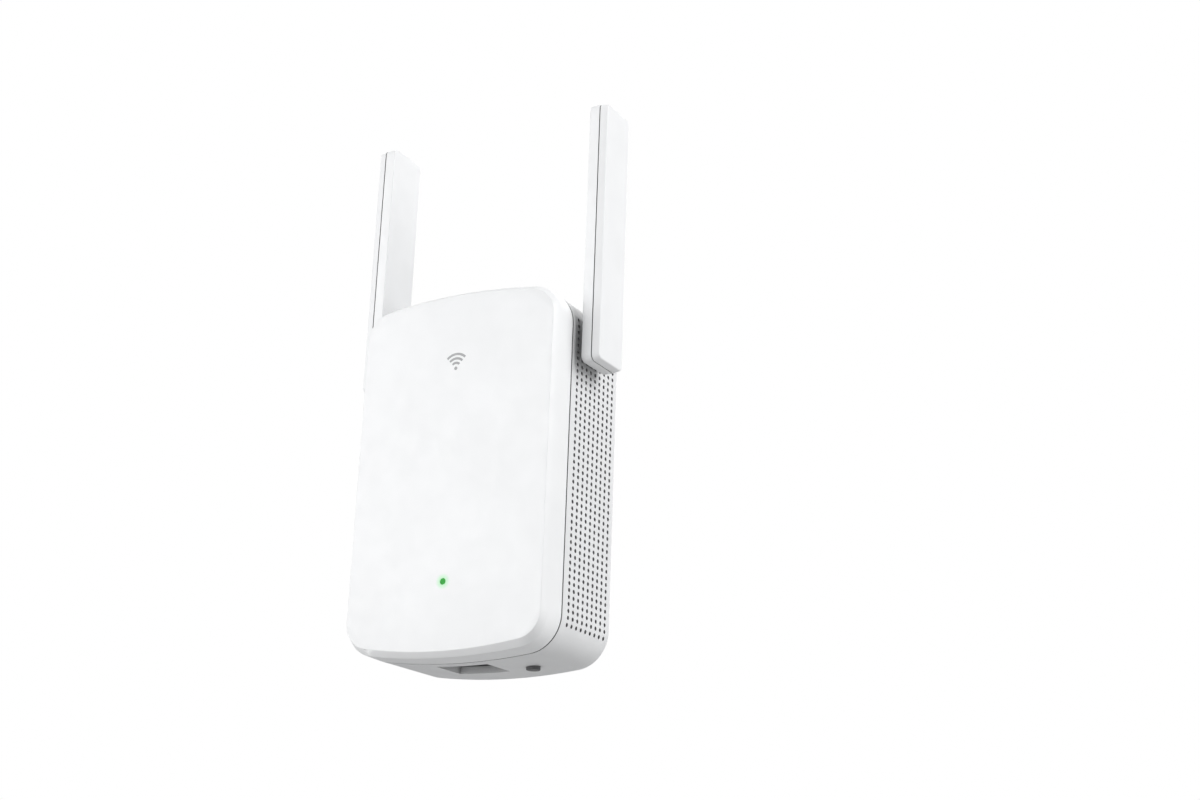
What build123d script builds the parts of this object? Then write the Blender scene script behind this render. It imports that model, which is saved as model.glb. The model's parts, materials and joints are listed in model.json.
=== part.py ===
from build123d import *
import os

# A wall-plug wifi range extender, in millimetres.
# The origin is midway between the plug's two pins, on the plug's end face. +Y points into the wall,
# +Z up, and +X to the right of someone who faces the front.

# Body outline, seen from the front
BODY_WIDTH = 68.0
BODY_HEIGHT = 112.0
BODY_DEPTH = 39.0
END_BOW = 3.0  # how far the top and bottom edges bow out in the middle
CORNER_RADIUS = 11.0
BODY_MID_Z = -22.0  # the plug sits above the middle of the body
WALL = 2.2

# Plug
PLUG_DEPTH = 17.0
PIN_SPACING = 19.0
PIN_RADIUS = 2.4
PIN_LENGTH = 19.0
BOSS_RADIUS = 18.3

# Depths of the body, front to back
REAR_Y = -PLUG_DEPTH
FRONT_Y = REAR_Y - BODY_DEPTH
COVER_DEPTH = 10.0
PART_Y = FRONT_Y + COVER_DEPTH
SEAM = 0.6
BACK_WALL_Y = REAR_Y - WALL  # inner face of the back wall
REAR_EDGE_RADIUS = 0.8

# Front cover
PANEL_SIDE_INSET = 1.2
PANEL_END_INSET = 1.85
PANEL_BOW = 3.4
PANEL_CORNER = 7.9
BEVEL_DEPTH = 2.5
BEVEL_SIDE_INSET = 0.2
BEVEL_END_INSET = 0.4
PANEL_THICKNESS = 2.0
PANEL_EDGE_RADIUS = 0.4
LIP_OUTER = 1.2
LIP_DEPTH = 2.2
FIT = 0.1
HOOK_Y = (FRONT_Y + 14.6, FRONT_Y + 15.8)  # barbs of the snap hooks
LEDGE_Y = (FRONT_Y + 13.4, FRONT_Y + 14.4)
INSULATION_Y = (FRONT_Y + 8.6, FRONT_Y + 9.0)

# Side grilles
HOLE_RADIUS = 0.6
HOLE_ROWS = 47
HOLE_COLUMNS = 9
ROW_PITCH = 2.0
COLUMN_PITCH = 2.75
FIRST_ROW_Z = -68.2
FIRST_COLUMN_Y = FRONT_Y + 13.7

# Circuit boards: both lie in one plane, parts face the front
BOARD_THICKNESS = 1.2
BOARD_Y = FRONT_Y + 27.1  # front face
BOARD_REAR_Y = BOARD_Y + BOARD_THICKNESS
BOARD_HALF_WIDTH = 29.0
BOARD_CORNER = 4.0
MAIN_BOARD_Z = (-73.0, -23.0)
POWER_BOARD_Z = (-19.0, 28.0)
BOARD_SCREWS = [(x, z) for x in (-25.5, 25.5) for z in (-68.5, -27.0)]
BOARD_SCREWS += [(x, z) for x in (-26.2, 26.2) for z in (-15.0, 22.0)]
STANDOFF_RADIUS = 2.8

# Screws
SCREW_RADIUS = 1.25
SCREW_HEAD_RADIUS = 2.2
SCREW_HEAD = 1.5
SCREW_LENGTH = 5.0
SCREW_GRIP = 1.0  # how much deeper a blind screw hole is than its screw

# Plug base inside the shell
BASE_HALF = 21.0
BASE_THICKNESS = 2.0
BASE_SCREW = 18.0
POST_RADIUS = 2.6
POST_HEIGHT = 3.0
CUP_RADIUS = 4.6
CUP_ROOF = 2.0

# Network jack and its opening
PORT_X = -1.2
PORT_HALF_WIDTH = 8.7
PORT_Y = (FRONT_Y + 14.4, FRONT_Y + 27.2)
JACK_HALF_WIDTH = 8.0
JACK_Y = (FRONT_Y + 14.6, BOARD_Y)
JACK_Z = (-74.6, -58.6)
JACK_RIBS_Z = (-70.5, -67.5)  # ribs of the cover that hold the jack down on its board
PLUG_SPACE_Y = (FRONT_Y + 18.1, FRONT_Y + 24.9)
CONTACT_PITCH = 1.02

# Button and the switch behind it
BUTTON_X = 16.4
BUTTON_Y = FRONT_Y + 25.5
BUTTON_RADIUS = 2.1
BUTTON_Z = (-78.3, -74.5, -73.7, -71.8)  # face, flange start, flange end, tip
BUTTON_TOUCH = 0.02  # gap between button tip and switch plunger

# Status light
LIGHT_Z = -56.0
LIGHT_RADIUS = 0.9
PIPE_RADIUS = 1.5

# Antennas: sizes of the right one, the left one is its mirror image
ANTENNA_X = (36.3, 39.8, 42.3)  # inner face, seam, outer face
ANTENNA_WIDTH = 15.4
ANTENNA_LENGTH = 84.0
ANTENNA_LOW_Z = 9.8
ANTENNA_TAPER = 0.5
ANTENNA_CORNER = 2.0
ANTENNA_WALL = 1.2
ANTENNA_SEAM = 0.3
PIVOT_Y = FRONT_Y + 18.9
PIVOT_Z = 17.3
NECK_RADIUS = 2.9
NECK_BORE = 1.5
NECK_END_X = 27.2
HUB_RADIUS = 3.4  # the neck's shoulder, between the side wall and the antenna
PIVOT_BOSS_RADIUS = 4.3
PIVOT_BOSS_X = 30.0  # inner end
WASHER_RADIUS = 4.2
CLIP_X = (28.4, 29.3)
CLIP_RADIUS = 4.1
CLIP_OPENING = 1.9  # half its width
GROOVE_RADIUS = 2.4
RUNNING_FIT = 0.05
COAX_RADIUS = 0.57

FORWARD = (0, -1, 0)
BACK = (0, 1, 0)
RIGHT = (1, 0, 0)
UP = (0, 0, 1)


def block(x, y, z):
    """A box between its low and high limit on each axis."""
    middle = Vector((x[0] + x[1]) / 2, (y[0] + y[1]) / 2, (z[0] + z[1]) / 2)
    return Pos(middle) * Box(x[1] - x[0], y[1] - y[0], z[1] - z[0])


def around(middle, half):
    return (middle - half, middle + half)


def rod(radius, start, direction, length):
    """A round bar from a point, along a direction."""
    ends = (Align.CENTER, Align.CENTER, Align.MIN)
    return Plane(start, z_dir=direction) * Cylinder(radius, length, align=ends)


def tube(outer, inner, start, direction, length):
    """A round tube from a point, along a direction."""
    return rod(outer, start, direction, length) - rod(inner, start, direction, length)


def wire(radius, path):
    """A round wire along a path."""
    return sweep(Plane(path @ 0, z_dir=path % 0) * Circle(radius), path)


def facing_front(y):
    """The plane of the body's outline at depth y."""
    return Plane((0, y, BODY_MID_Z), x_dir=RIGHT, z_dir=FORWARD)


def outline(half_width, half_height, bow, radius):
    """Straight sides, bowed ends and round corners."""
    side = half_height - bow
    edges = [
        Line((half_width, -side), (half_width, side)),
        ThreePointArc((half_width, side), (0, half_height), (-half_width, side)),
        Line((-half_width, side), (-half_width, -side)),
        ThreePointArc((-half_width, -side), (0, -half_height), (half_width, -side)),
    ]
    face = make_face(edges)
    return fillet(face.vertices(), radius)


def body_outline(side_inset, end_inset, bow, radius):
    return outline(BODY_WIDTH / 2 - side_inset, BODY_HEIGHT / 2 - end_inset, bow, radius)


def body_prism(front, rear, inset=0.0):
    """The body's outline, set in evenly, from one depth to another."""
    face = body_outline(inset, inset, END_BOW, CORNER_RADIUS - inset)
    return extrude(facing_front(rear) * face, rear - front)


# ---- case ----


def snap_hook(side, z):
    """An arm from the front panel with a barb that catches behind the shell's ledge."""
    arm = block((29.8, 30.9), (FRONT_Y + PANEL_THICKNESS - 0.5, HOOK_Y[1]), (z - 4, z + 4))
    barb = block((30.9, 31.6), HOOK_Y, (z - 4, z + 4))
    hook = arm + barb
    return hook if side > 0 else mirror(hook, Plane.YZ)


def snap_ledge(side, z):
    ledge = block((31.0, 33.0), LEDGE_Y, (z - 5, z + 5))
    return ledge if side > 0 else mirror(ledge, Plane.YZ)


HOOKS = [(side, z) for side in (-1, 1) for z in (-60.0, -30.0, 0.0)]


def front_cover():
    """Flat panel, bevelled band, straight rim, and a lip that locates the rear shell."""
    rim_y = PART_Y - SEAM / 2
    bevel_y = FRONT_Y + BEVEL_DEPTH
    panel = body_outline(PANEL_SIDE_INSET, PANEL_END_INSET, PANEL_BOW, PANEL_CORNER)
    bevel = body_outline(BEVEL_SIDE_INSET, BEVEL_END_INSET, END_BOW, CORNER_RADIUS - 1)
    rim = body_outline(0, 0, END_BOW, CORNER_RADIUS)
    faces = [facing_front(FRONT_Y) * panel, facing_front(bevel_y) * bevel, facing_front(rim_y) * rim]
    cover = loft(faces, ruled=True)
    cover = fillet(cover.faces().sort_by(Axis.Y)[0].edges(), PANEL_EDGE_RADIUS)
    cover -= body_prism(FRONT_Y + PANEL_THICKNESS, rim_y, WALL)
    lip = body_prism(rim_y - 1, rim_y + LIP_DEPTH - FIT, LIP_OUTER)
    lip -= body_prism(rim_y - 2, rim_y + LIP_DEPTH, WALL)
    cover += lip
    collar_y = FRONT_Y + PANEL_THICKNESS - 0.5
    cover += rod(3.2, (0, collar_y, LIGHT_Z), BACK, 8)
    cover -= rod(PIPE_RADIUS + FIT, (0, FRONT_Y + 1.2, LIGHT_Z), BACK, 9)
    cover -= rod(LIGHT_RADIUS + RUNNING_FIT, (0, FRONT_Y - 1, LIGHT_Z), BACK, 4)
    for side, z in HOOKS:
        cover += snap_hook(side, z)
    for x in (-15.0, 15.0):
        cover += block(around(x, 0.6), (collar_y, INSULATION_Y[0] - FIT), (-15, 24))
    for z in JACK_RIBS_Z:
        cover += block(around(PORT_X, 4.5), (collar_y, JACK_Y[0] - FIT), around(z, 0.6))
    return cover


def grille_holes(side):
    """The round holes in one side wall, on an even grid that leaves out the antenna's boss."""
    holes = []
    for row in range(HOLE_ROWS):
        for column in range(HOLE_COLUMNS):
            y = FIRST_COLUMN_Y + column * COLUMN_PITCH
            z = FIRST_ROW_Z + row * ROW_PITCH
            to_pivot = Vector(0, y - PIVOT_Y, z - PIVOT_Z).length
            if to_pivot > PIVOT_BOSS_RADIUS + HOLE_RADIUS + 0.2:
                start = (side * (BODY_WIDTH / 2 - 2 * WALL), y, z)
                holes.append(rod(HOLE_RADIUS, start, (side, 0, 0), 3 * WALL))
    return holes


def pivot_boss(side):
    """The ring inside the wall that the antenna's neck turns in."""
    length = BODY_WIDTH / 2 - WALL / 2 - PIVOT_BOSS_X
    return rod(PIVOT_BOSS_RADIUS, (side * PIVOT_BOSS_X, PIVOT_Y, PIVOT_Z), (side, 0, 0), length)


def rear_shell():
    """The perforated half of the case, with posts for the boards and the plug base."""
    front = PART_Y + SEAM / 2
    shell = body_prism(front, REAR_Y)
    shell = fillet(shell.faces().sort_by(Axis.Y)[-1].edges(), REAR_EDGE_RADIUS)
    shell -= body_prism(front - 1, BACK_WALL_Y, WALL)
    shell -= body_prism(front - 1, front + LIP_DEPTH, LIP_OUTER - FIT)
    for side, z in HOOKS:
        shell += snap_ledge(side, z)
    for x, z in BOARD_SCREWS:
        post = rod(STANDOFF_RADIUS, (x, BACK_WALL_Y + 0.5, z), FORWARD, BACK_WALL_Y + 0.5 - BOARD_REAR_Y)
        shell += post
        depth = SCREW_LENGTH + SCREW_GRIP - BOARD_THICKNESS
        shell -= rod(SCREW_RADIUS + RUNNING_FIT, (x, BOARD_REAR_Y, z), BACK, depth)
    for x, z in base_corners():
        shell += rod(POST_RADIUS, (x, BACK_WALL_Y + 0.5, z), FORWARD, POST_HEIGHT + 0.5)
        shell -= rod(SCREW_RADIUS + RUNNING_FIT, (x, BACK_WALL_Y + 0.5, z), FORWARD, POST_HEIGHT + 1)
    shell -= rod(BOSS_RADIUS + 0.15, (0, BACK_WALL_Y - 1, 0), BACK, 3 * WALL)
    shell += port_collar()
    shell -= block(around(PORT_X, PORT_HALF_WIDTH), PORT_Y, (-80, -70))
    shell -= rod(BUTTON_RADIUS + 0.08, (BUTTON_X, BUTTON_Y, -80), UP, 8)
    shell -= block((-24, 24), (REAR_Y - 0.3, REAR_Y + 1), (-70, -30))
    for side in (-1, 1):
        shell += pivot_boss(side)
        start = (side * (PIVOT_BOSS_X - 1), PIVOT_Y, PIVOT_Z)
        shell -= rod(NECK_RADIUS + RUNNING_FIT, start, (side, 0, 0), 10)
    return shell - grille_holes(-1) - grille_holes(1)


def port_collar():
    """The frame inside the bottom wall that leads a network plug into the jack."""
    margin = 1.2
    y = (PORT_Y[0] - margin, PORT_Y[1] - 0.1)
    return block(around(PORT_X, PORT_HALF_WIDTH + margin), y, (-77, JACK_Z[0] - FIT))


# ---- plug ----


def base_corners():
    return [(x, z) for x in (-BASE_SCREW, BASE_SCREW) for z in (-BASE_SCREW, BASE_SCREW)]


def plug_base():
    """The boss that fills the socket's well, on a flange screwed inside the shell."""
    flange_y = BACK_WALL_Y - BASE_THICKNESS
    base = block((-BASE_HALF, BASE_HALF), (flange_y, BACK_WALL_Y), (-BASE_HALF, BASE_HALF))
    base += rod(BOSS_RADIUS, (0, BACK_WALL_Y - 0.5, 0), BACK, PLUG_DEPTH + WALL + 0.5)
    base = fillet(base.faces().sort_by(Axis.Y)[-1].edges(), 0.8)
    for side in (-1, 1):
        earth = sorted((side * (BOSS_RADIUS - 4.3), side * 30))
        guide = sorted((side * (BOSS_RADIUS - 2.6), side * 30))
        base -= block((-4.5, 4.5), (REAR_Y, 1), earth)
        base -= block(guide, (REAR_Y, 1), (-2.7, 2.7))
    cavity = rod(12.0, (0, flange_y - 1, 0), BACK, -4 - flange_y)
    for side in (-1, 1):
        cavity -= rod(4.2, (side * PIN_SPACING / 2, flange_y - 2, 0), BACK, 30)
    base -= cavity
    for x, z in base_corners():
        cup_y = BACK_WALL_Y - POST_HEIGHT - CUP_ROOF
        base += rod(CUP_RADIUS, (x, cup_y, z), BACK, POST_HEIGHT + CUP_ROOF)
        base -= rod(POST_RADIUS + FIT, (x, BACK_WALL_Y - POST_HEIGHT, z), BACK, POST_HEIGHT + 1)
        base -= rod(SCREW_RADIUS + FIT, (x, cup_y - 1, z), BACK, 6)
    for side in (-1, 1):
        base -= rod(2.65, (side * PIN_SPACING / 2, flange_y - 1, 0), BACK, 30)
    return base


def plug_pin(x):
    """A round pin with a thicker root in the base, a shoulder and a tail for the power board."""
    shoulder_y = BACK_WALL_Y - BASE_THICKNESS
    pin = rod(PIN_RADIUS, (x, -1, 0), BACK, PIN_LENGTH + 1)
    pin = fillet(pin.faces().sort_by(Axis.Y)[-1].edges(), 1.6)
    pin += rod(2.6, (x, shoulder_y - 0.5, 0), BACK, -shoulder_y + 0.5)
    pin += rod(3.6, (x, shoulder_y - 1.2, 0), BACK, 1.2)
    return pin + rod(1.2, (x, BOARD_Y - 1, 0), BACK, 10)


def plug_pins():
    return [plug_pin(-PIN_SPACING / 2), plug_pin(PIN_SPACING / 2)]


def screw(x, seat_y, z, length):
    """A pan-head screw that points to the back, with its head seated at seat_y."""
    head = rod(SCREW_HEAD_RADIUS, (x, seat_y, z), FORWARD, SCREW_HEAD)
    head = fillet(head.faces().sort_by(Axis.Y)[0].edges(), 0.6)
    slot_y = seat_y - SCREW_HEAD
    head -= block((x - 1.3, x + 1.3), (slot_y - 1, slot_y + 0.6), (z - 0.25, z + 0.25))
    head -= block((x - 0.25, x + 0.25), (slot_y - 1, slot_y + 0.6), (z - 1.3, z + 1.3))
    return head + rod(SCREW_RADIUS, (x, seat_y, z), BACK, length)


def plug_base_screws():
    seat = BACK_WALL_Y - POST_HEIGHT - CUP_ROOF
    return [screw(x, seat, z, 4.5) for x, z in base_corners()]


# ---- boards ----


def board(z_limits, holes):
    """A board with rounded corners and its screw holes."""
    limits = (-BOARD_HALF_WIDTH, BOARD_HALF_WIDTH)
    plate = block(limits, (BOARD_Y, BOARD_REAR_Y), z_limits)
    plate = fillet(plate.edges().filter_by(Axis.Y), BOARD_CORNER)
    for x, z, radius in holes:
        plate -= rod(radius, (x, BOARD_Y - 1, z), BACK, 4)
    return plate


def screw_holes(z_limits):
    low, high = z_limits
    return [(x, z, SCREW_RADIUS + 0.15) for x, z in BOARD_SCREWS if low < z < high]


def main_board():
    return board(MAIN_BOARD_Z, screw_holes(MAIN_BOARD_Z))


def power_board():
    pin_holes = [(side * PIN_SPACING / 2, 0, 1.35) for side in (-1, 1)]
    return board(POWER_BOARD_Z, screw_holes(POWER_BOARD_Z) + pin_holes)


def board_screws():
    return [screw(x, BOARD_Y, z, SCREW_LENGTH) for x, z in BOARD_SCREWS]


def chip(x, z, height, edge=0.15, rear=False):
    """A flat chip on the front face of the boards, or on the rear face."""
    y = (BOARD_REAR_Y, BOARD_REAR_Y + height) if rear else (BOARD_Y - height, BOARD_Y)
    body = block(x, y, z)
    return chamfer(body.edges(), edge)


def standing_can(radius, x, z, height):
    """A can capacitor that stands on the board, with a groove near its foot."""
    can = rod(radius, (x, BOARD_Y, z), FORWARD, height)
    can = fillet(can.faces().sort_by(Axis.Y)[0].edges(), 0.5)
    return can - tube(radius + 1, radius - 0.3, (x, BOARD_Y - 1.4, z), FORWARD, 0.8)


def disc_on_edge(radius, thickness, x, z):
    """A disc part on two leads, with its faces to the sides."""
    rim_y = BOARD_Y - 0.6
    disc = rod(radius, (x - thickness / 2, rim_y - radius, z), RIGHT, thickness)
    disc = fillet(disc.edges(), 0.7)
    for lead_z in (z - 2, z + 2):
        disc += rod(0.3, (x, rim_y - radius, lead_z), BACK, radius + 0.6)
    return disc


def shield_can(x, z):
    """A pressed sheet cover, open towards the board."""
    height, sheet = 2.8, 0.25
    can = block(x, (BOARD_Y - height, BOARD_Y), z)
    can = fillet(can.edges().filter_by(Axis.Y), 0.8)
    inner_x = (x[0] + sheet, x[1] - sheet)
    inner_z = (z[0] + sheet, z[1] - sheet)
    return can - block(inner_x, (BOARD_Y - height + sheet, BOARD_Y + 1), inner_z)


SOC_CAN = ((-22.0, 2.0), (-50.0, -30.0))
RADIO_CAN = ((5.0, 22.0), (-50.0, -32.5))
CAN_TOP_Y = BOARD_Y - 2.8


def thermal_pads():
    top = CAN_TOP_Y + 0.25
    soc_pad = block((-19.5, -9.5), (top, BOARD_Y - 1.2), (-45, -35))
    radio_pad = block((9.5, 17.5), (top, BOARD_Y - 0.9), (-45, -37))
    return [soc_pad, radio_pad]


def heat_sink():
    """An extruded fin block, glued across both cans with tape."""
    base_y = CAN_TOP_Y - 0.3
    sink = block((-21, 21), (base_y - 1.6, base_y), (-49.5, -32.5))
    fin_pitch = 42.0 / 11
    for index in range(11):
        x = -21 + fin_pitch * (index + 0.5)
        sink += block((x - 0.6, x + 0.6), (base_y - 9, base_y - 1), (-49.5, -32.5))
    return sink


def heat_sink_tape():
    return block((-20.5, 20.5), (CAN_TOP_Y - 0.3, CAN_TOP_Y), (-49, -33))


def transformer_parts():
    """An EE core around a bobbin: the bobbin, the wound coil and the core."""
    x, z = (-8.0, 12.0), (-18.0, -4.0)
    foot_y = BOARD_Y - 1.2
    mid_x, mid_z = (x[0] + x[1]) / 2, (z[0] + z[1]) / 2
    leg = block((mid_x - 2.5, mid_x + 2.5), (foot_y - 16, foot_y), (mid_z - 2.5, mid_z + 2.5))
    ends = block(x, (foot_y - 16, foot_y - 12.5), (mid_z - 2.5, mid_z + 2.5))
    ends += block(x, (foot_y - 3.5, foot_y), (mid_z - 2.5, mid_z + 2.5))
    sides = block((x[0], x[0] + 2.4), (foot_y - 16, foot_y), (mid_z - 2.5, mid_z + 2.5))
    sides += block((x[1] - 2.4, x[1]), (foot_y - 16, foot_y), (mid_z - 2.5, mid_z + 2.5))
    core = leg + ends + sides
    sleeve_y = (foot_y - 12.4, foot_y - 3.6)
    flange_x = (mid_x - 7.4, mid_x + 7.4)
    bobbin = block((mid_x - 3.4, mid_x + 3.4), sleeve_y, (mid_z - 3.4, mid_z + 3.4))
    for low in (sleeve_y[0], sleeve_y[1] - 0.7):
        bobbin += block(flange_x, (low, low + 0.7), (mid_z - 6.2, mid_z + 6.2))
    bobbin -= block((mid_x - 2.6, mid_x + 2.6), (foot_y - 20, foot_y), (mid_z - 2.6, mid_z + 2.6))
    coil_y = (sleeve_y[0] + 0.8, sleeve_y[1] - 0.8)
    coil = block((mid_x - 6.6, mid_x + 6.6), coil_y, (mid_z - 6.0, mid_z + 6.0))
    coil = fillet(coil.edges().filter_by(Axis.Y), 2.0)
    coil -= block((mid_x - 3.45, mid_x + 3.45), (foot_y - 20, foot_y), (mid_z - 3.45, mid_z + 3.45))
    pin_rows = [(mid_x + step, mid_z + row) for step in (-5, -2.5, 2.5, 5) for row in (-5.2, 5.2)]
    for pin_x, pin_z in pin_rows:
        bobbin += block(
            (pin_x - 0.35, pin_x + 0.35), (sleeve_y[1] - 0.2, BOARD_Y), (pin_z - 0.35, pin_z + 0.35)
        )
    return {"transformer_core": core, "transformer_bobbin": bobbin, "transformer_coil": coil}


def power_parts():
    """The parts of the mains power supply, on the front of the power board."""
    fuse = rod(2.2, (-18.2, BOARD_Y - 2.4, 8), UP, 9)
    fuse = fillet(fuse.edges(), 0.6)
    fuse += rod(0.35, (-18.2, BOARD_Y, 7), FORWARD, 2.4)
    fuse += rod(0.35, (-18.2, BOARD_Y - 2.4, 7), UP, 2)
    choke = rod(4.4, (-8.8, BOARD_Y - 0.2, 17), FORWARD, 9)
    choke -= tube(6, 3.4, (-8.8, BOARD_Y - 1.6, 17), FORWARD, 6.2)
    return {
        "fuse": fuse,
        "varistor": disc_on_edge(4.4, 3.4, -18, -3.6),
        "line_choke": choke + rod(1, (-8.8, BOARD_Y, 17), FORWARD, 1),
        "bulk_capacitors": [standing_can(5, 2, 19, 16), standing_can(5, 13, 19, 16)],
        "output_capacitors": [standing_can(4, 17.5, -13.5, 12), standing_can(4, -13.5, -13.5, 12)],
        "bridge_rectifier": chip((-4, 4), (5.2, 11.2), 3.2, 0.3),
        "switching_chip": chip((12, 21), (4, 10), 3.2, 0.3),
        "output_diode": chip((15, 20.5), (-8.4, -5), 2.3, 0.25),
        "safety_capacitor": disc_on_edge(3.0, 3, 17.5, 0.2),
    }


def insulation_sheet():
    """A bent plastic sheet between the mains parts and the front cover."""
    sheet = block((-24, 24), INSULATION_Y, (-18.9, 26))
    return sheet + block((-24, 24), (INSULATION_Y[0] + 0.2, INSULATION_Y[1] + 12), (-18.9, -18.5))


def board_leads():
    """Two wires that carry the low voltage across the gap between the boards."""
    leads = []
    for x in (-20.4, -22.4):
        top, bottom = Vector(x, BOARD_Y, -15.8), Vector(x, BOARD_Y, -25.4)
        bulge = Vector(x, BOARD_Y - 4.8, -20.6)
        leads.append(wire(0.6, ThreePointArc(top, bulge, bottom)))
    return leads


# ---- network jack ----


def ethernet_jack():
    """The jack's body, with a stepped mouth for a plug and its latch."""
    jack = block(around(PORT_X, JACK_HALF_WIDTH), JACK_Y, JACK_Z)
    mouth = (JACK_Z[0] - 1, JACK_Z[0] + 13.5)
    jack -= block(around(PORT_X, 5.95), PLUG_SPACE_Y, mouth)
    jack -= block(around(PORT_X, 3.2), (PLUG_SPACE_Y[0] - 1.5, PLUG_SPACE_Y[0] + 1), mouth)
    jack -= block(around(PORT_X, 2.1), (PLUG_SPACE_Y[0] - 2.6, PLUG_SPACE_Y[0]), mouth)
    comb_z = (JACK_Z[0] + 1.0, JACK_Z[0] + 15.2)
    jack -= block(around(PORT_X, 4.2), (PLUG_SPACE_Y[1] - 0.5, PLUG_SPACE_Y[1] + 1.4), comb_z)
    jack -= block(around(PORT_X, 4.2), (PLUG_SPACE_Y[1], BOARD_Y + 1), (comb_z[1] - 0.9, comb_z[1]))
    return jack


def contact_spring(x):
    """One flat spring: a leg on the comb's floor, bent back into the mouth, and a foot."""
    leg_y = BOARD_Y - 1.05
    profile = Polyline(
        (BOARD_Y, -59.6),
        (BOARD_Y, -60.0),
        (leg_y, -60.0),
        (leg_y, -73.2),
        (leg_y - 0.25, -73.2),
        (leg_y - 1.25, -64.2),
        (leg_y - 1.0, -64.1),
        (leg_y - 0.3, -70.6),
        (leg_y - 0.3, -59.6),
        close=True,
    )
    side = Plane((x - 0.15, 0, 0), x_dir=BACK, z_dir=RIGHT)
    return extrude(side * make_face(profile), 0.3)


def ethernet_contacts():
    return [contact_spring(PORT_X + (index - 3.5) * CONTACT_PITCH) for index in range(8)]


# ---- button and light ----


def wps_button():
    """A cap in the underside, with a flange that holds it in and a stem to the switch."""
    face, flange, flange_end, tip = BUTTON_Z
    cap = rod(BUTTON_RADIUS, (BUTTON_X, BUTTON_Y, face), UP, flange - face + 0.1)
    cap = fillet(cap.faces().sort_by(Axis.Z)[0].edges(), 0.3)
    cap += rod(3.1, (BUTTON_X, BUTTON_Y, flange), UP, flange_end - flange)
    return cap + rod(1.2, (BUTTON_X, BUTTON_Y, flange_end), UP, tip - flange_end)


def switch_body():
    """A side-push switch on the board's edge, open towards the button."""
    body = block(around(BUTTON_X, 3), (BUTTON_Y - 1.6, BOARD_Y), (-70.2, -66.6))
    return body - block(around(BUTTON_X, 1.35), around(BUTTON_Y, 0.75), (-71, -68.8))


def switch_plunger():
    low = BUTTON_Z[3] + BUTTON_TOUCH
    return block(around(BUTTON_X, 1.3), around(BUTTON_Y, 0.7), (low, -69.2))


def light_pipe():
    """A clear rod from the light on the board to the face of the front panel."""
    pipe = rod(LIGHT_RADIUS, (0, FRONT_Y, LIGHT_Z), BACK, 4)
    shoulder_y = FRONT_Y + 1.2 + RUNNING_FIT
    return pipe + rod(PIPE_RADIUS, (0, shoulder_y, LIGHT_Z), BACK, BOARD_Y - 0.8 - shoulder_y)


def status_light():
    return block((-0.8, 0.8), (BOARD_Y - 0.7, BOARD_Y), (LIGHT_Z - 0.4, LIGHT_Z + 0.4))


# ---- antennas ----


def antenna_outline(x, inset):
    """The antenna's outline seen from the side, set in evenly."""
    middle = (x, PIVOT_Y, ANTENNA_LOW_Z + ANTENNA_LENGTH / 2)
    face = Rectangle(ANTENNA_WIDTH - 2 * inset, ANTENNA_LENGTH - 2 * inset)
    face = fillet(face.vertices(), max(ANTENNA_CORNER - inset, 0.3))
    return Plane(middle, x_dir=BACK, z_dir=RIGHT) * face


def antenna_inner_shell():
    """The half next to the body: a tray with the hollow neck it turns on."""
    inner, seam, _ = ANTENNA_X
    tray = extrude(antenna_outline(inner, 0), seam - ANTENNA_SEAM / 2 - inner)
    tray = fillet(tray.faces().sort_by(Axis.X)[0].edges(), 0.4)
    tray -= extrude(antenna_outline(inner + 1.0, ANTENNA_WALL), 10)
    shoulder_x = BODY_WIDTH / 2 + RUNNING_FIT
    tray += rod(HUB_RADIUS, (shoulder_x, PIVOT_Y, PIVOT_Z), RIGHT, inner - shoulder_x + 0.5)
    tray += rod(NECK_RADIUS, (NECK_END_X, PIVOT_Y, PIVOT_Z), RIGHT, inner - NECK_END_X)
    groove = (CLIP_X[0] - RUNNING_FIT, PIVOT_Y, PIVOT_Z)
    tray -= tube(6, GROOVE_RADIUS, groove, RIGHT, CLIP_X[1] - CLIP_X[0] + 2 * RUNNING_FIT)
    return tray - rod(NECK_BORE, (NECK_END_X - 1, PIVOT_Y, PIVOT_Z), RIGHT, 12)


def antenna_outer_shell():
    """The outer half, drafted all round, with a tongue inside the tray's rim."""
    _, seam, outer = ANTENNA_X
    rim_x = seam + ANTENNA_SEAM / 2
    lid = loft([antenna_outline(rim_x, 0), antenna_outline(outer, ANTENNA_TAPER)], ruled=True)
    lid = fillet(lid.faces().sort_by(Axis.X)[-1].edges(), 0.5)
    tongue_x = seam - 0.9
    lid += extrude(antenna_outline(tongue_x, ANTENNA_WALL + FIT), rim_x - tongue_x + 0.5)
    return lid - extrude(antenna_outline(tongue_x - 1, ANTENNA_WALL + 0.9), outer - 1.0 - tongue_x + 1)


def antenna_element():
    """The radiating strip on a small board, glued to the tray's floor."""
    floor = ANTENNA_X[0] + 1.0
    return block((floor, floor + 0.8), (PIVOT_Y - 5, PIVOT_Y + 5), (PIVOT_Z + 10, PIVOT_Z + 70))


def antenna_cable():
    """The coax from the element, round a bend and out through the neck."""
    x = ANTENNA_X[0] + 1.8 + COAX_RADIUS
    bend = 2.0
    start, corner = Vector(x, PIVOT_Y, PIVOT_Z + 16), Vector(x, PIVOT_Y, PIVOT_Z + bend)
    drop = Line(start, corner)
    arc = RadiusArc(corner, Vector(x - bend, PIVOT_Y, PIVOT_Z), bend)
    run = Line(arc @ 1, Vector(NECK_END_X + 0.6, PIVOT_Y, PIVOT_Z))
    return wire(COAX_RADIUS, Wire([drop, arc, run]))


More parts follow.
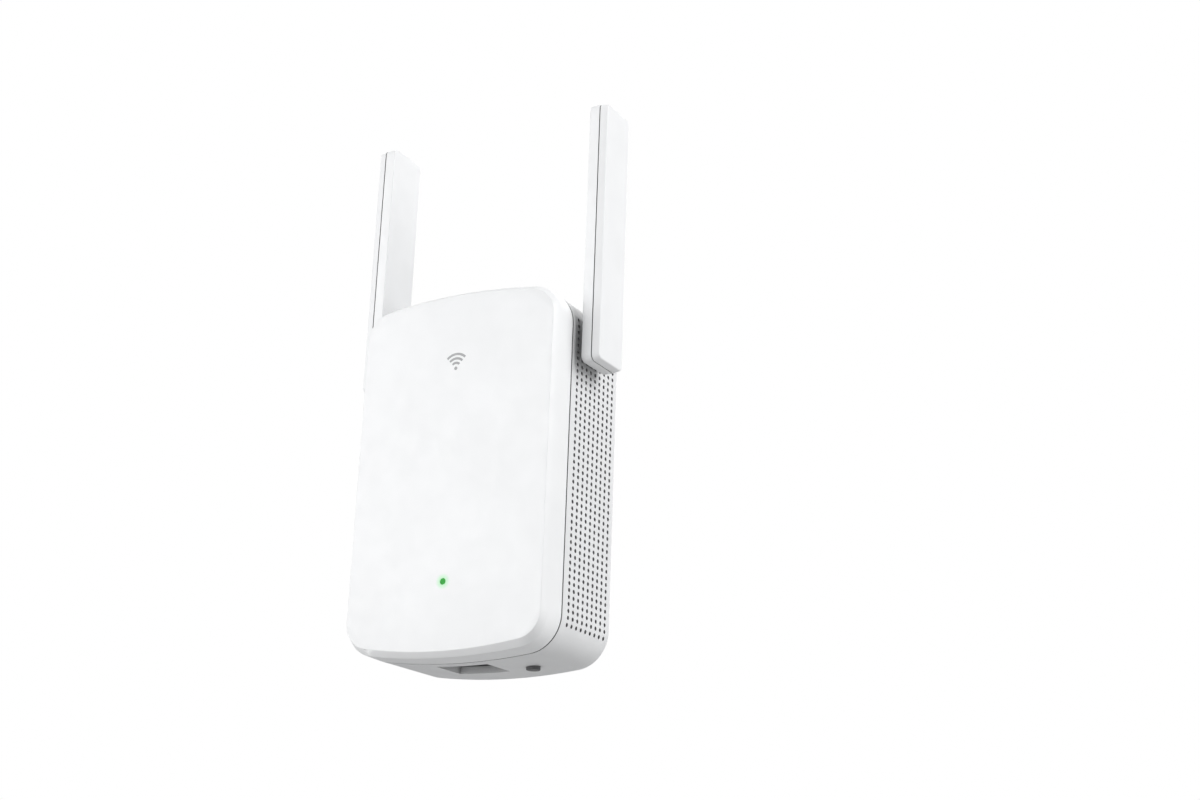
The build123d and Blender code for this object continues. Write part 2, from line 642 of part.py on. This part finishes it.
def antenna_lead():
    """The coax inside the case, from the end of the neck to the main board."""
    points = [
        (NECK_END_X + 0.1, PIVOT_Y, PIVOT_Z),
        (25.2, PIVOT_Y, 14.5),
        (24.6, BOARD_Y - 7.6, 4.0),
        (25.2, BOARD_Y - 6.3, -14.0),
        (26.0, BOARD_Y - 5.1, -30.0),
        (26.0, BOARD_Y - 4.5, -40.0),
        (26.0, BOARD_Y - 1.8, -44.0),
    ]
    return wire(COAX_RADIUS, Spline(points))


def antenna_sockets():
    return [tube(1.0, 0.35, (side * 26.0, BOARD_Y, -44.0), FORWARD, 1.2) for side in (-1, 1)]


def pivot_washer():
    inner = PIVOT_BOSS_X - RUNNING_FIT
    return tube(WASHER_RADIUS, NECK_RADIUS + RUNNING_FIT, (inner, PIVOT_Y, PIVOT_Z), (-1, 0, 0), 0.6)


def pivot_clip():
    """A spring clip in the neck's groove, open at the bottom."""
    width = CLIP_X[1] - CLIP_X[0]
    clip = tube(CLIP_RADIUS, GROOVE_RADIUS + RUNNING_FIT, (CLIP_X[0], PIVOT_Y, PIVOT_Z), RIGHT, width)
    return clip - block((20, 40), around(PIVOT_Y, CLIP_OPENING), (PIVOT_Z - 10, PIVOT_Z - 1))


ANTENNA_PARTS = {
    "antenna_inner_shell": antenna_inner_shell,
    "antenna_outer_shell": antenna_outer_shell,
    "antenna_element": antenna_element,
    "antenna_cable": antenna_cable,
    "antenna_lead": antenna_lead,
    "pivot_washer": pivot_washer,
    "pivot_clip": pivot_clip,
}


def main_board_parts():
    """The parts of the radio and processor side, on the main board."""
    inductors = [chip(around(x, 2), (-29.6, -25.6), 2.0, 0.3) for x in (12, 19)]
    return {
        "processor": chip((-20.5, -8.5), (-46, -34), 1.2),
        "memory_chip": chip((-7.2, 0.8), (-46, -34), 1.1),
        "radio_chip": chip((9, 18), (-46, -37), 0.9),
        "flash_chip": chip((-12, -6.5), (-44, -38.5), 1.8, rear=True),
        "crystal": chip((4, 7.2), (-30.4, -27.9), 0.8),
        "power_inductors": inductors,
        "board_capacitors": [standing_can(3.15, -20, -55, 5.8), standing_can(3.15, 20, -58, 5.8)],
        "network_transformer": chip((-22.5, -11), (-70, -60), 5.0, 0.3),
        "soc_shield_can": shield_can(*SOC_CAN),
        "radio_shield_can": shield_can(*RADIO_CAN),
        "thermal_pads": thermal_pads(),
        "heat_sink": heat_sink(),
        "heat_sink_tape": heat_sink_tape(),
        "antenna_sockets": antenna_sockets(),
        "status_light": status_light(),
    }


def all_parts():
    parts = {
        "front_cover": front_cover(),
        "rear_shell": rear_shell(),
        "plug_base": plug_base(),
        "plug_pins": plug_pins(),
        "plug_base_screws": plug_base_screws(),
        "rating_label": block((-23.5, 23.5), (REAR_Y - 0.3, REAR_Y - 0.12), (-69.5, -30.5)),
        "main_board": main_board(),
        "power_board": power_board(),
        "board_screws": board_screws(),
        "insulation_sheet": insulation_sheet(),
        "board_leads": board_leads(),
        "ethernet_jack": ethernet_jack(),
        "ethernet_contacts": ethernet_contacts(),
        "wps_button": wps_button(),
        "switch_body": switch_body(),
        "switch_plunger": switch_plunger(),
        "light_pipe": light_pipe(),
        **power_parts(),
        **transformer_parts(),
        **main_board_parts(),
    }
    for name, make in ANTENNA_PARTS.items():
        right = make()
        parts["right_" + name] = right
        parts["left_" + name] = mirror(right, Plane.YZ)
    return parts


os.makedirs("parts", exist_ok=True)
for name, shape in all_parts().items():
    if isinstance(shape, list):
        shape = Compound(children=shape)
    export_step(shape, f"parts/{name}.step")
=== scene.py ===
import json
import math

import bmesh
import bpy
from mathutils import Matrix, Vector


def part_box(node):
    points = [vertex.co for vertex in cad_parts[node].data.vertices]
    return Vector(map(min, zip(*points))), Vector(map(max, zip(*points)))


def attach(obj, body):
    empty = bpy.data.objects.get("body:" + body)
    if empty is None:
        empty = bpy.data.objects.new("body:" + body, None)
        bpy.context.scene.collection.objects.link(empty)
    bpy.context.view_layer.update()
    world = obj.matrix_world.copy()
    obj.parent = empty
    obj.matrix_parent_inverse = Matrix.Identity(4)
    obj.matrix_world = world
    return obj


MM = 0.001
WHITE = (0.905, 0.908, 0.912)
REAR_WHITE_PAINTED_SHADE = (0.815, 0.818, 0.822)  # painted shade: the perforated shell is the same white, made slightly greyer to stand in for the shade on its sides
SMOOTH_ANGLE = math.radians(22)  # faces that meet at more than this keep a sharp edge

MARK_ARCS = (1.7, 3.1, 4.5)  # radii of the signal symbol's arcs, in mm
MARK_LINE = 0.7
MARK_DOT = 0.54  # radius
MARK_HALF_ANGLE = math.radians(44)
MARK_HEIGHT = 0.775  # where its dot sits, as a share of the front's height

FLOOR_SIZE = 8.0
FLOOR_Z = -0.27
FLOOR_THROWS_BACK = 0.47  # of the light that falls on it
FLOOR_SHOWN = (0.29, 0.3)  # its own tones as the camera sees them, on top of FLOOR_LIFT
FLOOR_LIFT = 0.6

AIM = (0, -0.03, 0)  # where the lamps point
GLOW_ON_OBJECT = 0.33  # brightness of the surroundings as they light the object

CAMERA_PLACE = (277.2, -473.9, -163.8)  # mm
CAMERA_AZIMUTH = math.radians(28.6)
CAMERA_ELEVATION = math.radians(18.19)
CAMERA_ROLL = math.radians(1.95)
CAMERA_LENS = 53.14

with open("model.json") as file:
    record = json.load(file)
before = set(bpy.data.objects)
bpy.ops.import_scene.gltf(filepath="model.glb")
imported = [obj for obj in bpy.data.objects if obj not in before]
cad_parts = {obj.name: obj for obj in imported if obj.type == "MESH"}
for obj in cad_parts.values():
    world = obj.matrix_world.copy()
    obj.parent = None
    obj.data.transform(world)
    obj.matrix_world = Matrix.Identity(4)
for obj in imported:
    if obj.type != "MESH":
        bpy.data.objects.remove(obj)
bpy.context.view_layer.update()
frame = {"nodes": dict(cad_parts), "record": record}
nodes = frame["nodes"]


# ---- node helpers ----


class Shader:
    """One material, built up with short calls. Textures use the object's own coordinates, in mm."""

    def __init__(self, name):
        self.material = bpy.data.materials.new(name)
        self.material.use_nodes = True
        self.tree = self.material.node_tree
        self.surface = self.tree.nodes["Principled BSDF"]
        coordinates = self.add("ShaderNodeTexCoord")
        scale = self.add("ShaderNodeVectorMath", operation="SCALE")
        scale.inputs["Scale"].default_value = 1 / MM
        self.link(coordinates.outputs["Object"], scale.inputs[0])
        self.place_mm = scale.outputs[0]

    def add(self, kind, **settings):
        node = self.tree.nodes.new(kind)
        for key, value in settings.items():
            setattr(node, key, value)
        return node

    def link(self, source, target):
        self.tree.links.new(source, target)

    def set(self, **values):
        for key, value in values.items():
            self.surface.inputs[key.replace("_", " ")].default_value = value

    def noise(self, per_mm, detail=2.0, stretch=(1, 1, 1)):
        """Noise with about per_mm features in each millimetre."""
        mapping = self.add("ShaderNodeMapping")
        mapping.inputs["Scale"].default_value = stretch
        self.link(self.place_mm, mapping.inputs["Vector"])
        noise = self.add("ShaderNodeTexNoise")
        noise.inputs["Scale"].default_value = per_mm
        noise.inputs["Detail"].default_value = detail
        self.link(mapping.outputs[0], noise.inputs["Vector"])
        return noise.outputs["Fac"]

    def spread(self, value, low, high):
        """Maps a 0-1 value to low-high."""
        spread = self.add("ShaderNodeMapRange")
        spread.inputs["From Min"].default_value = 0.3
        spread.inputs["From Max"].default_value = 0.7
        spread.inputs["To Min"].default_value = low
        spread.inputs["To Max"].default_value = high
        self.link(value, spread.inputs["Value"])
        return spread.outputs[0]

    def colours(self, value, stops):
        """A colour ramp: stops are (position, rgb)."""
        ramp = self.add("ShaderNodeValToRGB")
        elements = ramp.color_ramp.elements
        while len(elements) < len(stops):
            elements.new(0.5)
        for element, (position, rgb) in zip(elements, stops):
            element.position = position
            element.color = (*rgb, 1)
        self.link(value, ramp.inputs["Fac"])
        return ramp.outputs["Color"]

    def uneven(self, rgb, vary, per_mm):
        """A colour with a slight unevenness."""
        low = tuple(c * (1 - vary) for c in rgb)
        high = tuple(min(1.0, c * (1 + vary)) for c in rgb)
        return self.colours(self.noise(per_mm), [(0.35, low), (0.65, high)])

    def tone(self, rgb, vary, per_mm):
        self.link(self.uneven(rgb, vary, per_mm), self.surface.inputs["Base Color"])

    def shade_in_gaps(self, reach_mm, darkest, shut, clear):
        """White where nothing stands within reach of the surface, and down to darkest where it is shut in.

        Shut and clear are how open the surface is (0 to 1) where the ramp starts and ends.
        """
        openness = self.add("ShaderNodeAmbientOcclusion", samples=6)
        openness.inputs["Distance"].default_value = reach_mm * MM
        return self.colours(openness.outputs["AO"], [(shut, (darkest,) * 3), (clear, (1, 1, 1))])

    def distance_mm(self, point_mm):
        away = self.add("ShaderNodeVectorMath", operation="DISTANCE")
        away.inputs[1].default_value = point_mm
        self.link(self.place_mm, away.inputs[0])
        return away.outputs["Value"]

    def scaled(self, value, factor):
        product = self.add("ShaderNodeMath", operation="MULTIPLY")
        product.inputs[1].default_value = factor
        self.link(value, product.inputs[0])
        return product.outputs[0]

    def multiply(self, first, second):
        mix = self.add("ShaderNodeMix", data_type="RGBA", blend_type="MULTIPLY")
        mix.inputs[0].default_value = 1.0
        self.link(first, mix.inputs[6])
        self.link(second, mix.inputs[7])
        return mix.outputs[2]

    def roughness(self, low, high, per_mm, stretch=(1, 1, 1)):
        uneven = self.spread(self.noise(per_mm, stretch=stretch), low, high)
        self.link(uneven, self.surface.inputs["Roughness"])

    def relief(self, height, depth_mm, edge_mm=0.0):
        """A fine bump over softly rounded edges."""
        bump = self.add("ShaderNodeBump")
        bump.inputs["Distance"].default_value = depth_mm * MM
        self.link(height, bump.inputs["Height"])
        if edge_mm:
            bevel = self.add("ShaderNodeBevel", samples=4)
            bevel.inputs["Radius"].default_value = edge_mm * MM
            self.link(bevel.outputs[0], bump.inputs["Normal"])
        self.link(bump.outputs[0], self.surface.inputs["Normal"])


def plastic(name, rgb, rough=(0.38, 0.5), grain_mm=0.004, per_mm=5.0):
    """Moulded plastic: spark-eroded grain, slightly uneven gloss, rounded edges."""
    shader = Shader(name)
    shader.tone(rgb, 0.012, 0.08)
    shader.roughness(*rough, 0.35)
    shader.relief(shader.noise(per_mm, detail=3), grain_mm, 0.12)
    shader.set(IOR=1.5)
    return shader.material


def white_shell(name, rgb):
    """The case's plastic, with painted shade in its joins, holes and narrow clefts and where other parts stand
    close, and a painted green glow around the status light.
    """
    shader = Shader(name)
    # painted shade: the base colour darkens where nearby surfaces shut the plastic in, in joins and holes and
    # beside the antennas
    painted_crevice_shade = shader.shade_in_gaps(2.2, 0.2, 0.0, 0.7)
    painted_shade_near_parts = shader.shade_in_gaps(13.0, 0.62, 0.2, 0.92)
    low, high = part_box("light_pipe")
    light_mm = ((low.x + high.x) / 2 / MM, low.y / MM, (low.z + high.z) / 2 / MM)
    centimetres = shader.scaled(shader.distance_mm(light_mm), 0.1)
    # painted light: a green tint in the base colour around the status light stands in for its glow spreading
    # through the white plastic
    painted_led_glow = shader.colours(centimetres, [(0.09, (0.55, 1, 0.6)), (0.24, (1, 1, 1))])
    shade = shader.multiply(painted_crevice_shade, painted_shade_near_parts)
    colour = shader.multiply(shader.uneven(rgb, 0.012, 0.08), shader.multiply(shade, painted_led_glow))
    shader.link(colour, shader.surface.inputs["Base Color"])
    shader.roughness(0.38, 0.5, 0.35)
    shader.relief(shader.noise(5.0, detail=3), 0.004, 0.12)
    shader.set(IOR=1.5)
    return shader.material


def metal(name, rgb, rough=(0.2, 0.34), stretch=(1, 1, 12)):
    """Drawn or rolled metal with fine lines along one direction."""
    shader = Shader(name)
    shader.tone(rgb, 0.04, 0.3)
    shader.roughness(*rough, 4.0, stretch)
    shader.relief(shader.noise(4.0, 3, stretch), 0.003, 0.06)
    shader.set(Metallic=1.0)
    return shader.material


def circuit_board(name):
    """Green solder mask, paler where tracks run under it."""
    shader = Shader(name)
    cells = shader.add("ShaderNodeTexVoronoi", feature="DISTANCE_TO_EDGE")
    cells.inputs["Scale"].default_value = 0.42
    shader.link(shader.place_mm, cells.inputs["Vector"])
    track, mask = (0.03, 0.2, 0.1), (0.012, 0.11, 0.05)
    green = shader.colours(cells.outputs["Distance"], [(0.0, track), (0.05, track), (0.07, mask)])
    shader.link(green, shader.surface.inputs["Base Color"])
    shader.roughness(0.22, 0.34, 0.5)
    shader.relief(cells.outputs["Distance"], 0.02)
    return shader.material


def lit(name, rgb, glow_rgb, strength):
    """Clear plastic that carries the green light, brighter in its middle."""
    shader = Shader(name)
    shader.tone(rgb, 0.3, 1.2)
    facing = shader.add("ShaderNodeLayerWeight")
    facing.inputs["Blend"].default_value = 0.4
    glow = shader.spread(facing.outputs["Facing"], strength, 0.3 * strength)
    shader.link(glow, shader.surface.inputs["Emission Strength"])
    shader.set(Emission_Color=(*glow_rgb, 1), Roughness=0.3, IOR=1.2)
    return shader.material


# ---- materials: one per slot of the record, and a greyer white with painted shade for the rear shell ----


def make_materials():
    glossy, satin, matte = (0.2, 0.3), (0.3, 0.45), (0.45, 0.6)
    green_glow = (0.035, 0.33, 0.045)
    return {
        "white_shell": white_shell("white_abs", WHITE),
        # painted shade: the rear shell gets the same white made greyer, standing in for the shade on its
        # perforated sides
        "rear_shell": white_shell("rear_white_abs_painted_shade", REAR_WHITE_PAINTED_SHADE),
        "nickel_pin": metal("nickel_plate", (0.72, 0.69, 0.64), (0.12, 0.24), (12, 1, 12)),
        "steel_screw": metal("zinc_plate", (0.6, 0.6, 0.58)),
        "steel_sheet": metal("tinned_sheet", (0.66, 0.66, 0.65), (0.25, 0.4)),
        "label_film": plastic("label_film", (0.74, 0.745, 0.75), (0.3, 0.36), 0.002, 9),
        "circuit_board": circuit_board("solder_mask"),
        "insulation_film": plastic("polyester_film", (0.75, 0.74, 0.7), glossy),
        "black_chip": plastic("moulded_epoxy", (0.02, 0.02, 0.022), (0.5, 0.65), 0.01),
        "capacitor_sleeve": plastic("shrink_sleeve", (0.03, 0.03, 0.06), glossy, 0.002),
        "blue_disc": plastic("dipped_coat", (0.03, 0.1, 0.35), (0.25, 0.4), 0.02, 1.2),
        "fuse_body": plastic("lacquer", (0.3, 0.26, 0.14), satin),
        "ferrite": plastic("ground_ferrite", (0.045, 0.045, 0.047), (0.45, 0.7), 0.02),
        "bobbin_plastic": plastic("phenolic", (0.05, 0.045, 0.04), (0.35, 0.5)),
        "coil_tape": plastic("polyester_tape", (0.72, 0.5, 0.05), (0.22, 0.34), 0.01, 1.5),
        "heat_sink_metal": metal("extruded_aluminium", (0.72, 0.73, 0.74), (0.28, 0.42)),
        "thermal_pad": plastic("silicone_pad", (0.35, 0.4, 0.5), (0.7, 0.85), 0.02),
        "wire_sleeve": plastic("wire_sleeve", (0.035, 0.035, 0.035), satin),
        "gold_contact": metal("gold_flash", (0.85, 0.6, 0.24), (0.15, 0.28)),
        "jack_plastic": plastic("jack_nylon", (0.27, 0.27, 0.275), matte),
        "button_plastic": plastic("button_grey", (0.11, 0.11, 0.112), (0.42, 0.55)),
        "clear_pipe": lit("lit_pipe", (0.005, 0.1, 0.01), green_glow, 0.85),
        "led_body": lit("status_led", (0.05, 0.7, 0.1), (0.05, 0.8, 0.1), 3.0),
        "crystal_can": metal("crystal_lid", (0.7, 0.66, 0.55)),
        "washer_plastic": plastic("acetal", (0.8, 0.8, 0.78), (0.35, 0.45)),
    }


def dress_nodes(materials):
    """Gives each CAD node its material, and smooth shading up to its real edges."""
    slots = {part["node"]: part["material_slot"] for part in frame["record"]["subparts"]}
    for name, node in nodes.items():
        node.data.materials.clear()
        node.data.materials.append(materials.get(name) or materials[slots[name]])
        node.data.polygons.foreach_set("use_smooth", [True] * len(node.data.polygons))
        weld = node.modifiers.new("weld", "WELD")
        weld.merge_threshold = 0.001 * MM
        split = node.modifiers.new("real edges", "EDGE_SPLIT")
        split.split_angle = SMOOTH_ANGLE


# ---- printed mark ----


def arc_band(bm, radius, width, half_angle, depth, steps=24):
    """A curved bar, part of a ring, with its ends cut along the radius."""
    thickness = Vector((0, depth, 0))
    rows = []
    for step in range(steps + 1):
        angle = math.pi / 2 + half_angle * (1 - 2 * step / steps)
        ray = Vector((math.cos(angle), 0, math.sin(angle)))
        inner = ray * (radius - width / 2)
        outer = ray * (radius + width / 2)
        corners = [inner, outer, outer + thickness, inner + thickness]
        rows.append([bm.verts.new(corner) for corner in corners])
    for here, there in zip(rows, rows[1:]):
        for side in range(4):
            other = (side + 1) % 4
            bm.faces.new((here[side], there[side], there[other], here[other]))
    bm.faces.new(rows[0])
    bm.faces.new(reversed(rows[-1]))


def signal_mark():
    """A small generic signal symbol printed on the front: a dot under three arcs."""
    low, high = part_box("front_cover")
    bm = bmesh.new()
    ink = 0.03 * MM
    for radius in MARK_ARCS:
        arc_band(bm, radius * MM, MARK_LINE * MM, MARK_HALF_ANGLE, ink)
    pinhole = 0.02
    ring_radius = (MARK_DOT + pinhole) / 2
    arc_band(bm, ring_radius * MM, (MARK_DOT - pinhole) * MM, math.pi * 0.999, ink, 32)
    bmesh.ops.recalc_face_normals(bm, faces=bm.faces)
    mesh = bpy.data.meshes.new("signal_mark")
    bm.to_mesh(mesh)
    bm.free()
    mark = bpy.data.objects.new("signal_mark", mesh)
    bpy.context.scene.collection.objects.link(mark)
    stands_out = 0.02 * MM
    mark.location = (0, low.y - stands_out, low.z + MARK_HEIGHT * (high.z - low.z))
    mesh.materials.append(plastic("grey_print", (0.33, 0.335, 0.34), (0.3, 0.4), 0.002))
    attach(mark, "housing")


# ---- stage ----


def grey(tone):
    return (tone, tone, tone)


def floor():
    """A plain floor far below. It looks paler than the light it throws back, which keeps undersides shaded."""
    bpy.ops.mesh.primitive_plane_add(size=FLOOR_SIZE, location=(0, 0, FLOOR_Z))
    plane = bpy.context.object
    plane.name = "floor"
    shader = Shader("pale_floor")
    low, high = FLOOR_SHOWN
    shown = shader.colours(shader.noise(0.004), [(0.35, grey(low)), (0.65, grey(high))])
    path = shader.add("ShaderNodeLightPath")
    to_camera = path.outputs["Is Camera Ray"]
    mix = shader.add("ShaderNodeMix", data_type="RGBA")
    mix.inputs[6].default_value = (*grey(FLOOR_THROWS_BACK), 1)
    shader.link(to_camera, mix.inputs[0])
    shader.link(shown, mix.inputs[7])
    shader.link(mix.outputs[2], shader.surface.inputs["Base Color"])
    shader.link(shader.scaled(to_camera, FLOOR_LIFT), shader.surface.inputs["Emission Strength"])
    shader.set(Emission_Color=(1, 1, 1, 1))
    shader.roughness(0.7, 0.8, 0.02)
    plane.data.materials.append(shader.material)


def soft_box(name, place, size, watts):
    """A rectangular studio lamp that points at the object."""
    light = bpy.data.lights.new(name, "AREA")
    light.shape = "RECTANGLE"
    light.size, light.size_y = size
    light.energy = watts
    lamp = bpy.data.objects.new(name, light)
    lamp.location = place
    lamp.rotation_mode = "QUATERNION"
    lamp.rotation_quaternion = (Vector(AIM) - Vector(place)).to_track_quat("-Z", "Y")
    bpy.context.scene.collection.objects.link(lamp)


def lights():
    soft_box("front left", (-1.0, -1.65, 0.4), (1.4, 1.4), 27)
    soft_box("right", (1.73, 0.15, 0.9), (1.2, 1.2), 28.5)
    soft_box("rear", (-0.4, 1.8, 0.9), (1.4, 1.2), 15)
    soft_box("top", (0.0, 0.25, 1.3), (1.0, 0.7), 1.2)


def surroundings():
    """White behind the object, and an even, slightly darker glow on it from all round."""
    world = bpy.data.worlds.new("studio")
    bpy.context.scene.world = world
    world.use_nodes = True
    tree = world.node_tree
    tree.nodes.clear()
    output = tree.nodes.new("ShaderNodeOutputWorld")
    mix = tree.nodes.new("ShaderNodeMixShader")
    path = tree.nodes.new("ShaderNodeLightPath")
    glow = tree.nodes.new("ShaderNodeBackground")
    seen = tree.nodes.new("ShaderNodeBackground")
    glow.inputs["Color"].default_value = (0.96, 0.98, 1.0, 1)
    glow.inputs["Strength"].default_value = GLOW_ON_OBJECT
    seen.inputs["Color"].default_value = (1, 1, 1, 1)
    seen.inputs["Strength"].default_value = 1.0
    tree.links.new(path.outputs["Is Camera Ray"], mix.inputs["Fac"])
    tree.links.new(glow.outputs[0], mix.inputs[1])
    tree.links.new(seen.outputs[0], mix.inputs[2])
    tree.links.new(mix.outputs[0], output.inputs["Surface"])


def camera():
    """Below and to the right of the front, looking up at the object."""
    level = math.cos(CAMERA_ELEVATION)
    x = -math.sin(CAMERA_AZIMUTH) * level
    y = math.cos(CAMERA_AZIMUTH) * level
    forward = Vector((x, y, math.sin(CAMERA_ELEVATION)))
    right = forward.cross(Vector((0, 0, 1))).normalized()
    up = right.cross(forward)
    turned_right = right * math.cos(CAMERA_ROLL) + up * math.sin(CAMERA_ROLL)
    turned_up = up * math.cos(CAMERA_ROLL) - right * math.sin(CAMERA_ROLL)
    data = bpy.data.cameras.new("camera")
    data.sensor_width = 36
    data.lens = CAMERA_LENS
    data.clip_start = 0.01
    eye = bpy.data.objects.new("camera", data)
    turn = Matrix((turned_right, turned_up, -forward)).transposed()
    eye.matrix_world = Matrix.Translation(Vector(CAMERA_PLACE) * MM) @ turn.to_4x4()
    bpy.context.scene.collection.objects.link(eye)
    bpy.context.scene.camera = eye


dress_nodes(make_materials())
signal_mark()
floor()
lights()
surroundings()
camera()
bpy.context.scene.view_settings.view_transform = "Standard"
